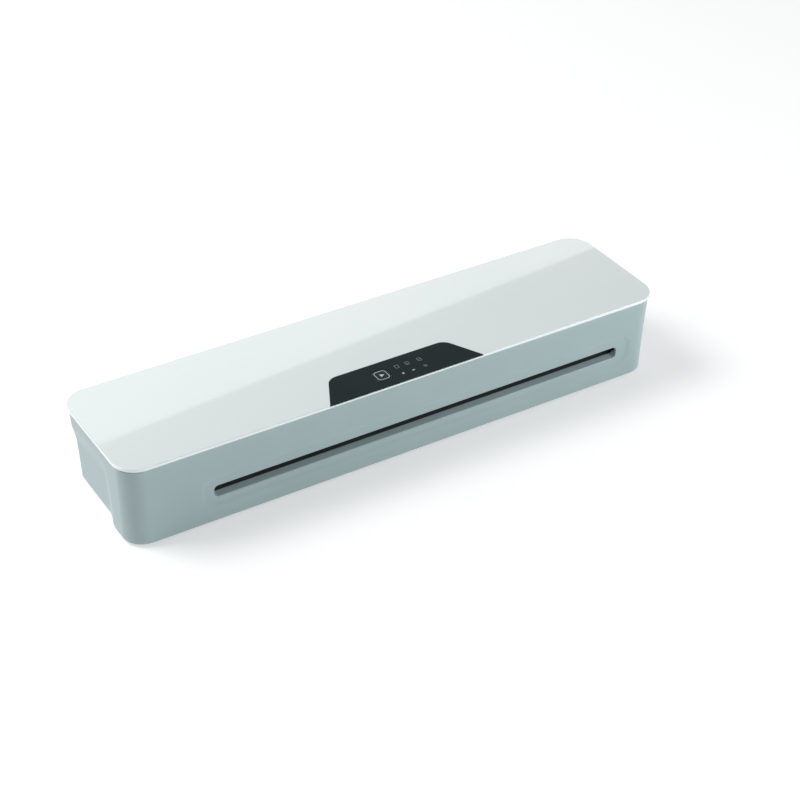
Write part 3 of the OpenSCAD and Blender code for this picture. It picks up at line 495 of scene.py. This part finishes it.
def makeFinishes():
    return {
        "case_abs": caseAbs(),
        "cover_abs": coverAbs(),
        "lens_acrylic": lensAcrylic(),
        "button_abs": buttonAbs(),
        "guide_pbt": plainPlastic("mouldedPbt", "33373A", "3A3E41", 0.42, 0.6, 0.012),
        "base_abs": plainPlastic("texturedAbsGrey", "4C5254", "53595B", 0.5, 0.8, 0.03),
        "black_plastic": plainPlastic("mouldedNylonBlack", "17181A", "1F2022", 0.36, 0.5, 0.012),
        "foot_rubber": footRubber(),
        "screw_steel": plainSteel("zincPlatedSteel", "A7ABAF", "B8BBC0", 0.3, 3),
        "sheet_steel": sheetSteel(),
        "core_steel": plainSteel("groundSteel", "B4B7BA", "C3C6C9", 0.2, 4, (6, 1, 1), 0.25),
        "heater_aluminium": plainSteel("extrudedAluminium", "C6C8CA", "D6D8DA", 0.32, 20, (0.05, 1, 1), 0.5),
        "heater_mica": heaterMica(),
        "roller_silicone": rollerSilicone(),
        "gear_nylon": gearNylon(),
        "pinion_brass": plainSteel("hobbedBrass", "C9A455", "D8B569", 0.24, 3),
        "motor_steel": plainSteel("drawnSteelCan", "A5A8AB", "B6B9BC", 0.34, 18, (3, 1, 1), 0.4),
        "board_green": boardGreen(),
        "part_black": plainPlastic("mouldedEpoxy", "1D1E20", "26272A", 0.45, 0.4, 0.01),
        "cutout_black": plainPlastic("mouldedPhenolic", "221E1C", "2C2725", 0.4, 0.6, 0.015),
        "bead_red": clearGuide("glassBead", "B4442F", 0.2),
        "guide_clear": clearGuide("clearAcrylic", "E9F1F2", 0.85),
        "lead_grey": plainPlastic("pvcInsulation", "C7C8C3", "D0D1CC", 0.4, 0.7, 0.01),
        "ink_white": inkWhite(),
        "spring_steel": plainSteel("musicWire", "8E9296", "9DA1A5", 0.26, 1.5),
    }


def dressNodes():
    for part in frame["record"]["subparts"]:
        node = nodes[part["node"]]
        node.data.materials.clear()
        node.data.materials.append(finishes[part["material_slot"]])


# ---- case shell
caseSizes = {
    "footHeight": 2, "coverBottom": 62.6, "insetTop": 1.5, "insetFront": 4, "insetSide": 3.2,
    "cornerRadius": 14.5,
    "flare": 1.4, "edgeRound": 0.7, "edgeHeight": 1.4,
    "gripDepth": 4.1, "gripStart": -21, "gripRun": 18, "gripTop": 31, "gripFade": 24,
    "gapHeight": 61.5, "gapDepth": 0.9,
    "bossRadius": 3.6, "bossHole": 1.2, "bossHoleDepth": 10, "bossZ": (4.3, 19.3), "bossX": (-45, 75),
    "bossCorner": 6.4, "bossSink": 0.5,
    "lowerCavity": (389.8, 88), "upperCavity": (404, 93), "upperCavityZ": 52, "cavityRadius": 12,
}
exitSlot = {
    "x": (-144, 174.5), "z": (20.6, 29.7), "corner": 3, "edgeY": -46.4, "lipY": -41.9, "slope": 0.42,
    "round": 0.3, "lipRound": 0.6, "lipEnd": 1.5, "lipRun": 2.7, "lipBelow": 1.1, "lipAbove": 3.4,
    "lipOver": 0.9,
}
entrySlot = {
    "x": (-146, 176), "z": (25.1, 31.5), "flareZ": 5.2, "flareX": 3, "flareDepth": 2.8, "round": 0.3,
}
dish = {"x": (-153, 185.5), "z": (15, 37.4), "depth": 0.75, "edge": 1.1}
cutEnd, cutTop = 60, 70  # where cutting blocks end, clear of every wall


def caseInset(z, base):
    s = caseSizes
    t = max(0, (z - s["footHeight"]) / (s["coverBottom"] - s["footHeight"]))
    foot = max(0, 1 - (z - s["footHeight"]) / s["edgeHeight"])
    return base - (base - s["insetTop"]) * t ** s["flare"] + s["edgeRound"] * foot ** 2


def gripAt(y, z):
    s = caseSizes
    across = smooth((y - s["gripStart"]) / s["gripRun"])
    return across * s["gripDepth"] * (1 - smooth((z - s["gripTop"]) / s["gripFade"]))


def dishAt(x, z):
    # depth of the shallow dish round the exit slot, soft at its edge
    radius = (dish["z"][1] - dish["z"][0]) / 2
    middle = sum(dish["z"]) / 2
    nearest = max(dish["x"][0] + radius, min(dish["x"][1] - radius, x))
    outside = math.hypot(x - nearest, z - middle) - radius
    return dish["depth"] * (1 - smooth((outside + dish["edge"]) / (2 * dish["edge"])))


def shapeCase(shell, halfW, halfD):
    radius = caseSizes["cornerRadius"]
    for vert in shell.data.vertices:
        x, y, z = (c / mm for c in vert.co)
        shiftX = caseInset(z, caseSizes["insetSide"]) - caseSizes["insetTop"]
        shiftY = caseInset(z, caseSizes["insetFront"]) - caseSizes["insetTop"]
        if z > caseSizes["gapHeight"]:
            shiftX, shiftY = shiftX + caseSizes["gapDepth"], shiftY + caseSizes["gapDepth"]
        flatX, flatY = halfW - radius, halfD - radius
        newX = x - math.copysign(shiftX, x) * min(1, abs(x) / flatX)
        newY = y - math.copysign(shiftY, y) * min(1, abs(y) / flatY)
        limit = halfW - shiftX - gripAt(newY, z)
        newX = max(-limit, min(limit, newX))
        if newY < -flatY and abs(newX) < flatX + 2:
            newY += dishAt(newX, z)
        vert.co = (newX * mm, newY * mm, z * mm)


def buildCaseShell():
    low, high = (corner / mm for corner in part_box("body_shell"))
    s = caseSizes
    shell = addPlanBlock("caseShell", high.x - low.x, high.y - low.y, low.z, high.z, s["cornerRadius"], 20)
    # planes that give the mesh its points: close together at the foot, the dish, the recess and the gap
    heights = [low.z + h for h in (0.3, 0.7, 1.1, 1.5, 4, 7.5)]
    heights += steps(12.9, 18.9, 1.2) + [22.4, 24.4] + steps(31.8, 39, 1.2) + steps(41, 57, 2)
    heights += [s["gapHeight"] - 0.05, s["gapHeight"] + 0.05]
    depths = steps(-24, -1, 1.6) + steps(3, 33, 5)
    places = steps(dish["x"][0] - 2, dish["x"][0] + 5, 1.1) + [-144.6, -142.4, -139, -132]
    places += [167, 171, 174.6, 177.4] + steps(dish["x"][1] - 5, dish["x"][1] + 2, 1.1)
    addBisects(shell, [(2, heights), (1, depths), (0, places)])
    shapeCase(shell, high.x, high.y)
    cavity = addPlanBlock("cavity", *s["lowerCavity"], low.z - 1, cutTop, s["cavityRadius"])
    combine(shell, cavity)
    upper = addPlanBlock("cavity", *s["upperCavity"], s["upperCavityZ"], cutTop, s["cavityRadius"])
    combine(shell, upper)
    addBosses(shell)
    openExit(shell)
    openEntry(shell)
    openRear(shell)
    smoothBy(shell, 32)
    finishPiece(shell, "case", "case_abs", finishes["case_abs"], "body_shell")
    print("case shell:", len(shell.data.polygons), "faces")


def addBosses(shell):
    # screw bosses: one in each corner, and two along each long wall
    s = caseSizes
    width, depth = s["lowerCavity"]
    inset = s["cavityRadius"] - s["bossCorner"]
    cornerY, middleY = depth / 2 - inset, depth / 2 - s["bossRadius"] + s["bossSink"]
    places = [(x, y) for x in (inset - width / 2, width / 2 - inset) for y in (-cornerY, cornerY)]
    places += [(x, y) for x in s["bossX"] for y in (-middleY, middleY)]
    z0, z1 = s["bossZ"]
    for x, y in places:
        combine(shell, addRod("boss", s["bossRadius"], (x, y, z0), z1 - z0, "z", 24), "UNION")
        combine(shell, addRod("hole", s["bossHole"], (x, y, z0 - 1), s["bossHoleDepth"] + 1, "z", 16))


def stadiumTool(x0, x1, z0, z1, y0, y1):
    tool = addBlock("stadium", (x0, y0, z0), (x1, y1, z1))
    half = (z1 - z0) / 2
    roundEdges(tool, alongY, half * 0.999, 10)
    return tool


def openExit(shell):
    # a lip that runs inward and up to the lower guide, under a plain round-cornered opening
    e = exitSlot
    x0, x1 = e["x"]
    z0, z1 = e["z"]
    lip = addBlock("lip", (x0 - e["lipEnd"], e["lipY"] - e["lipRun"], z0 - e["lipBelow"]),
                   (x1 + e["lipEnd"], e["lipY"], z0 + e["lipAbove"]))
    combine(shell, lip, "UNION")
    tool = addBlock("exitTool", (x0, -cutEnd, z0), (x1, e["lipY"] + e["lipOver"], z1))
    roundEdges(tool, alongY, e["corner"], 8)
    for vert in tool.data.vertices:
        if vert.co.z < (z0 + z1) / 2 * mm:
            vert.co.z += e["slope"] * (vert.co.y - e["edgeY"] * mm)
    combine(shell, tool)
    # a box round the opening's outer edges
    low, high = Vector((x0 - 1, -48, z0 - 1.5)) * mm, Vector((x1 + 1, -45.9, z1 + 1)) * mm
    inside = lambda v: all(a < c < b for a, c, b in zip(low, v.co, high))
    middle = (z0 + z1) / 2 * mm
    # wider rounding on the lip's edge than on the upper edge
    for width, lower in ((e["lipRound"], True), (e["round"], False)):
        roundEdges(shell, lambda edge: sharp(25)(edge) and all(
            inside(v) and (v.co.z < middle - 0.002) == lower for v in edge.verts), width, 3)


def openEntry(shell):
    # a throat with round ends that flares towards the outside
    e = entrySlot
    middleX, middleZ, half = sum(e["x"]) / 2, sum(e["z"]) / 2, (e["z"][1] - e["z"][0]) / 2
    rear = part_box("top_cover")[1].y / mm - caseInset(middleZ, caseSizes["insetFront"])
    combine(shell, stadiumTool(*e["x"], *e["z"], 30, cutEnd))
    flare = stadiumTool(*e["x"], *e["z"], rear - e["flareDepth"], rear + 3)
    for vert in flare.data.vertices:
        if vert.co.y > rear * mm:
            vert.co.z += e["flareZ"] * (vert.co.z - middleZ * mm) / half
            vert.co.x += math.copysign(e["flareX"] * mm, vert.co.x - middleX * mm)
    combine(shell, flare)
    near = lambda v: v.co.y > (rear - 1) * mm and abs(v.co.z - middleZ * mm) < 0.008
    inside = lambda v: near(v) and (e["x"][0] - 4) * mm < v.co.x < (e["x"][1] + 4) * mm
    roundEdges(shell, lambda edge: sharp(25)(edge) and all(inside(v) for v in edge.verts), e["round"], 2)


def openRear(shell):
    # the lever's window, the switch's seat and hole, and the cord inlet's
    rear = {
        "inside": 38, "windowHalf": 8.5, "windowZ": (36.5, 55.5), "windowCorner": 1.2, "bezelDepth": 1.2,
        "bezelGap": 0.1, "bezelRim": 1.3, "flangeRadius": 7.4, "flangeDepth": 1.6, "glandRadius": 5.5,
    }
    leverLow, leverHigh = (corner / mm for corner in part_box("release_lever"))
    switchLow, switchHigh = (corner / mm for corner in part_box("switch_housing"))
    glandLow, glandHigh = (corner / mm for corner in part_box("cord_gland"))
    inner, gap, rim = rear["inside"], rear["bezelGap"], rear["bezelRim"]
    leverX = (leverLow.x + leverHigh.x) / 2
    window = addBlock("window", (leverX - rear["windowHalf"], inner, rear["windowZ"][0]),
                      (leverX + rear["windowHalf"], cutEnd, rear["windowZ"][1]))
    roundEdges(window, alongY, rear["windowCorner"], 4)
    combine(shell, window)
    seat = switchHigh.y - rear["bezelDepth"]
    combine(shell, addBlock("bezelSeat", (switchLow.x - gap, seat, switchLow.z - gap),
                            (switchHigh.x + gap, cutEnd, switchHigh.z + gap)))
    combine(shell, addBlock("switchHole", (switchLow.x + rim, inner, switchLow.z + rim),
                            (switchHigh.x - rim, cutEnd, switchHigh.z - rim)))
    glandX, glandZ = (glandLow.x + glandHigh.x) / 2, (glandLow.z + glandHigh.z) / 2
    seat = glandHigh.y - rear["flangeDepth"]
    combine(shell, addRod("flangeSeat", rear["flangeRadius"], (glandX, seat, glandZ), cutEnd - seat, "y"))
    combine(shell, addRod("glandHole", rear["glandRadius"], (glandX, inner, glandZ), cutEnd - inner, "y"))


# ---- top cover
lensSizes = {
    "middle": -1, "front": 59.2, "rear": 45, "rearY": -22.5, "corner": 5.4, "thickness": 1.0, "gap": 0.12,
    "edge": 0.15,
}
keySizes = {
    "x": -13.5, "y": -37, "width": 12, "depth": 13, "corner": 3.2, "gap": 0.3, "base": 62, "edge": 0.45,
    "stem": 2,
}
sunk = 0.03  # the lens and key tops lie this far below the printed marks' tops
cutBase = 50  # where blocks that cut the cover start, inside the case


def lensOutline(name, grow, z0, z1):
    # the panel's outline: wide at the front edge, round corners at the back
    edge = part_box("top_cover")[0].y / mm
    middle, half = lensSizes["middle"], lensSizes["front"] + grow
    block = addBlock(
        name, (middle - half, edge - grow, z0), (middle + half, lensSizes["rearY"] + grow, z1))
    behind = lambda vert: vert.co.y > (edge + lensSizes["rearY"]) / 2 * mm
    for vert in block.data.vertices:
        if behind(vert):
            vert.co.x = (middle + math.copysign(lensSizes["rear"] + grow, vert.co.x)) * mm
    roundEdges(block, lambda e: upright(e) and behind(e.verts[0]), lensSizes["corner"], 8)
    return block


def keyBlock(name, grow, z0, z1):
    k = keySizes
    block = addBlock(
        name, (k["x"] - k["width"] / 2 - grow, k["y"] - k["depth"] / 2 - grow, z0),
        (k["x"] + k["width"] / 2 + grow, k["y"] + k["depth"] / 2 + grow, z1),
    )
    roundEdges(block, upright, k["corner"] + grow, 8)
    return block


def buildCover():
    sizes = {
        "corner": 17.4, "topRound": 0.45, "bottomRound": 0.5, "rim": (403.4, 92.4), "rimCorner": 11.7,
        "rimHollow": (401, 90), "hollowCorner": 10.5, "rimDepth": 2.6,
    }
    bottom = caseSizes["coverBottom"]
    low, high = (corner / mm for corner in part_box("top_cover"))
    cover = addPlanBlock("topCover", high.x - low.x, high.y - low.y, bottom, high.z, sizes["corner"], 24)
    roundEdges(cover, atHeight(high.z), sizes["topRound"], 4)
    roundEdges(cover, atHeight(bottom), sizes["bottomRound"], 3)
    rim = addPlanBlock("rim", *sizes["rim"], bottom - sizes["rimDepth"], bottom + 0.6, sizes["rimCorner"])
    hollow = addPlanBlock("rimHollow", *sizes["rimHollow"], cutBase, bottom + 0.01, sizes["hollowCorner"])
    combine(rim, hollow)
    combine(cover, rim, "UNION")
    combine(cover, lensOutline("pocket", 0, high.z - lensSizes["thickness"], high.z + 3))
    combine(cover, keyBlock("keyHole", keySizes["gap"], cutBase, cutTop))
    smoothBy(cover, 32)
    finishPiece(cover, "case", "cover_abs", finishes["cover_abs"], "top_cover")
    print("top cover:", len(cover.data.polygons), "faces")


def buildLens():
    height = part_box("panel_lens")[1].z / mm
    top = height - sunk
    lens = lensOutline("panelLens", -lensSizes["gap"], height - lensSizes["thickness"], top)
    combine(lens, keyBlock("keyHole", keySizes["gap"], cutBase, cutTop))
    roundEdges(lens, lambda e: atHeight(top)(e) and sharp()(e), lensSizes["edge"], 2)
    smoothBy(lens, 32)
    finishPiece(lens, "case", "lens_acrylic", finishes["lens_acrylic"], "panel_lens")


def buildKey():
    low, high = (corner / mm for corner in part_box("start_button"))
    top = high.z - sunk
    k = keySizes
    key = keyBlock("startKey", 0, k["base"], top)
    roundEdges(key, atHeight(top), k["edge"], 3)
    stem = addRod("stem", k["stem"], (k["x"], k["y"], low.z), k["base"] + 0.4 - low.z, "z", 24)
    combine(key, stem, "UNION")
    smoothBy(key, 32)
    finishPiece(key, "start_key", "button_abs", finishes["button_abs"], "start_button")


def buildMarks():
    # places and sizes in mm; width, depth, corner and line of each frame
    marks = {
        "thickness": 0.028, "lift": 0.004,
        "ring": (8.8, 9.8, 2.4, 0.42), "arrow": 2.3, "arrowWidth": 0.9, "arrowLength": 0.82,
        "sheet": (3.0, 3.8, 0.7, 0.42), "sheetX": (0.4, 8.4, 17.9), "sheetY": -33.2,
        "line": (0.8, 0.4), "dot": (0.1, -42.2), "dotRadius": 0.9,
        "bar": (8.1, -42.3), "barHalf": (1.1, 0.5), "barCorner": 0.42,
        "star": (17.6, -41.9), "rayHalf": (1.7, 0.2),
    }
    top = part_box("panel_lens")[1].z / mm
    base = top - marks["thickness"] - marks["lift"]

    def frameMark(name, x, y, width, depth, radius, line):
        right, back = width / 2, depth / 2
        outer = addBlock(name, (x - right, y - back, base), (x + right, y + back, top))
        roundEdges(outer, upright, radius, 6)
        inner = addBlock("inner", (x - right + line, y - back + line, base - 1),
                         (x + right - line, y + back - line, top + 1))
        roundEdges(inner, upright, max(0.15, radius - line), 6)
        combine(outer, inner)
        return outer

    x, y = keySizes["x"], keySizes["y"]
    ring = frameMark("startRing", x, y, *marks["ring"])
    arrow = addRod("arrow", marks["arrow"], (x, y, base), marks["thickness"], "z", 3)
    for vert in arrow.data.vertices:
        # a quarter turn, so that the triangle points to the right
        offset = vert.co - Vector((x * mm, y * mm, vert.co.z))
        vert.co.x = x * mm + offset.y * marks["arrowWidth"]
        vert.co.y = y * mm - offset.x * marks["arrowLength"]
    startMark = joinPieces([ring, arrow], "startMark")
    finishPiece(startMark, "start_key", "button_abs", finishes["ink_white"])

    half, width = marks["line"]
    sheetY = marks["sheetY"]
    unlit = [frameMark("sheetMark", sheetX, sheetY, *marks["sheet"]) for sheetX in marks["sheetX"]]
    unlit += [
        addBlock("sheetLine", (sheetX - half, sheetY - width, base), (sheetX + half, sheetY, top))
        for sheetX in marks["sheetX"][1:]
    ]
    finishPiece(joinPieces(unlit, "sheetMarks"), "case", "lens_acrylic", inkGrey())
    dot = addRod("readyLight", marks["dotRadius"], (*marks["dot"], base), marks["thickness"], "z", 24)
    (barX, barY), (barW, barD) = marks["bar"], marks["barHalf"]
    bar = addBlock("bar", (barX - barW, barY - barD, base), (barX + barW, barY + barD, top))
    roundEdges(bar, upright, marks["barCorner"], 4)
    finishPiece(joinPieces([dot, bar], "litMarks"), "case", "lens_acrylic", litDot())
    (starX, starY), (rayLength, rayWidth) = marks["star"], marks["rayHalf"]
    place = Matrix.Translation((starX * mm, starY * mm, 0))
    rays = []
    for turn in (0, 60, 120):
        ray = addBlock("ray", (-rayLength, -rayWidth, base), (rayLength, rayWidth, top))
        ray.data.transform(place @ Matrix.Rotation(math.radians(turn), 4, "Z"))
        rays.append(ray)
    finishPiece(joinPieces(rays, "coldMark"), "case", "lens_acrylic", inkGrey())
    print("panel marks done")


# ---- rear fittings
def buildLever():
    # a paddle on a round hub, with a thicker ribbed tip
    lever = {
        "hub": 5.2, "bore": 3.0, "length": 13.7, "arm": 2.4, "tip": 3.2, "tipLength": 2.6, "tipRound": 0.8,
        "ribs": 4, "ribRadius": 0.35, "ribStart": 6.2, "ribGap": 1.3, "ribEnd": 1.5, "edge": 0.25, "tilt": 22,
    }
    low, high = (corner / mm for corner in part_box("release_lever"))
    shaft = [sum(pair) / 2 for pair in zip(*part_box("release_shaft"))]
    x0, x1 = low.x, high.x
    arm = addBlock("releaseLever", (x0, 0, -lever["arm"]), (x1, lever["length"] - 1, lever["arm"]))
    tip = addBlock("tip", (x0, lever["length"] - lever["tipLength"], -lever["tip"]),
                   (x1, lever["length"], lever["tip"]))
    roundEdges(tip, lambda e: not alongY(e), lever["tipRound"], 4)
    combine(arm, tip, "UNION")
    for i in range(lever["ribs"]):
        start = (x0 + lever["ribEnd"], lever["ribStart"] + lever["ribGap"] * i, lever["arm"])
        rib = addRod("rib", lever["ribRadius"], start, x1 - x0 - 2 * lever["ribEnd"], "x", 12)
        combine(arm, rib, "UNION")
    combine(arm, addRod("hub", lever["hub"], (x0, 0, 0), x1 - x0, "x"), "UNION")
    combine(arm, addRod("bore", lever["bore"], (x0 - 1, 0, 0), x1 - x0 + 2, "x"))
    roundEdges(arm, sharp(50), lever["edge"], 2)
    makeActive(arm)
    arm.rotation_euler = (math.radians(lever["tilt"]), 0, 0)
    arm.location = (0, shaft[1], shaft[2])
    keepPlace()
    smoothBy(arm, 35)
    body = nodes["release_lever"]["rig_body"]
    finishPiece(arm, body, "guide_pbt", finishes["guide_pbt"], "release_lever")


def buildRocker():
    # a dished rocker with a bar on one half and a ring on the other
    rocker = {
        "half": 7.5, "low": -0.8, "keel": -2.2, "ends": 4.6, "dip": 3.6, "height": 4.9, "tilt": 7,
        "depth": 6.5, "edge": 0.5, "pin": 1.2, "pinHalf": 6,
        "barHalf": 0.2, "barHeight": 1.6, "ring": 1.7, "ringHole": 1.25, "markSunk": 0.25, "markProud": 0.06,
    }
    low, high = (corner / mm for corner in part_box("power_rocker"))
    housing = [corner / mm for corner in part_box("switch_housing")]
    x, z = (housing[0].x + housing[1].x) / 2, (low.z + high.z) / 2
    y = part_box("top_cover")[1].y / mm - rocker["depth"]
    half, height = rocker["half"], rocker["height"]
    block = addBlock("powerRocker", (-half, rocker["low"], -height), (half, rocker["ends"], height))
    addBisects(block, [(0, [0])])
    for vert in block.data.vertices:
        if abs(vert.co.x) < 1e-5:
            vert.co.y = (rocker["dip"] if vert.co.y > 0.001 else rocker["keel"]) * mm
    roundEdges(
        block, lambda e: sharp(30)(e) and e.verts[0].co.y + e.verts[1].co.y > 0.006, rocker["edge"], 3)
    pin = addRod("pin", rocker["pin"], (0, 0, -rocker["pinHalf"]), 2 * rocker["pinHalf"], "z", 24)
    combine(block, pin, "UNION")
    slope = math.atan2(rocker["ends"] - rocker["dip"], half)
    sunkY, proudY = -rocker["markSunk"], rocker["markProud"]
    barX, barZ = rocker["barHalf"], rocker["barHeight"]
    bar = addBlock("bar", (-barX, sunkY, -barZ), (barX, proudY, barZ))
    ring = addRod("ring", rocker["ring"], (0, sunkY, 0), proudY - sunkY, "y", 32)
    combine(ring, addRod("hole", rocker["ringHole"], (0, -1, 0), 2, "y", 32))
    for side, mark in ((-1, bar), (1, ring)):
        makeActive(mark)
        mark.rotation_euler = (0, 0, side * slope)
        mark.location = (side * half / 2 * mm, (rocker["ends"] + rocker["dip"]) / 2 * mm, 0)
        keepPlace()
    markPiece = joinPieces([bar, ring], "rockerMarks")
    for piece in (block, markPiece):
        makeActive(piece)
        piece.rotation_euler = (0, 0, math.radians(rocker["tilt"]))
        piece.location = (x * mm, y * mm, z * mm)
        keepPlace()
    smoothBy(block, 35)
    body = nodes["power_rocker"]["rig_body"]
    finishPiece(block, body, "black_plastic", finishes["black_plastic"], "power_rocker")
    finishPiece(markPiece, body, "black_plastic", finishes["ink_white"])


def buildSprings():
    # coil springs between the yoke and the frame's top, copied from their CAD node, welded and smoothed
    coils = bpy.data.objects.new("springCoils", nodes["pressure_springs"].data.copy())
    bpy.context.scene.collection.objects.link(coils)
    makeActive(coils)
    bpy.ops.object.mode_set(mode="EDIT")
    bpy.ops.mesh.select_all(action="SELECT")
    bpy.ops.mesh.remove_doubles(threshold=0.002 * mm)
    bpy.ops.object.mode_set(mode="OBJECT")
    smoothBy(coils, 50)
    finishPiece(coils, "case", "spring_steel", finishes["spring_steel"], "pressure_springs")
    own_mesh(coils)


def softenNodes():
    # moulded and pressed edges are never quite sharp
    widths = {
        "switch_housing": 0.35, "cord_gland": 0.4, "rubber_feet": 0.4, "base_plate": 0.25,
        "lower_entry_guide": 0.25, "upper_entry_guide": 0.25, "lower_exit_guide": 0.25,
        "upper_exit_guide": 0.25, "base_screws": 0.1, "left_frame": 0.15, "right_frame": 0.15,
        "motor": 0.4, "motor_bracket": 0.15, "release_cams": 0.2, "lower_front_sleeve": 0.3,
        "upper_front_sleeve": 0.3, "lower_rear_sleeve": 0.3, "upper_rear_sleeve": 0.3,
        "thermal_cutout": 0.2, "board_parts": 0.3,
    }
    for name, width in widths.items():
        weld = nodes[name].modifiers.new("weld", "WELD")
        weld.merge_threshold = 0.002 * mm
        bevel = nodes[name].modifiers.new("edges", "BEVEL")
        bevel.width = width * mm
        bevel.segments = 2
        bevel.limit_method = "ANGLE"
        bevel.angle_limit = math.radians(40)


addCamera()
addFloor()
addLight()
finishes = makeFinishes()
dressNodes()
print("materials:", len(finishes))
buildCaseShell()
buildCover()
buildLens()
buildKey()
buildMarks()
buildLever()
buildRocker()
buildSprings()
softenNodes()
print("rear fittings and edges done")
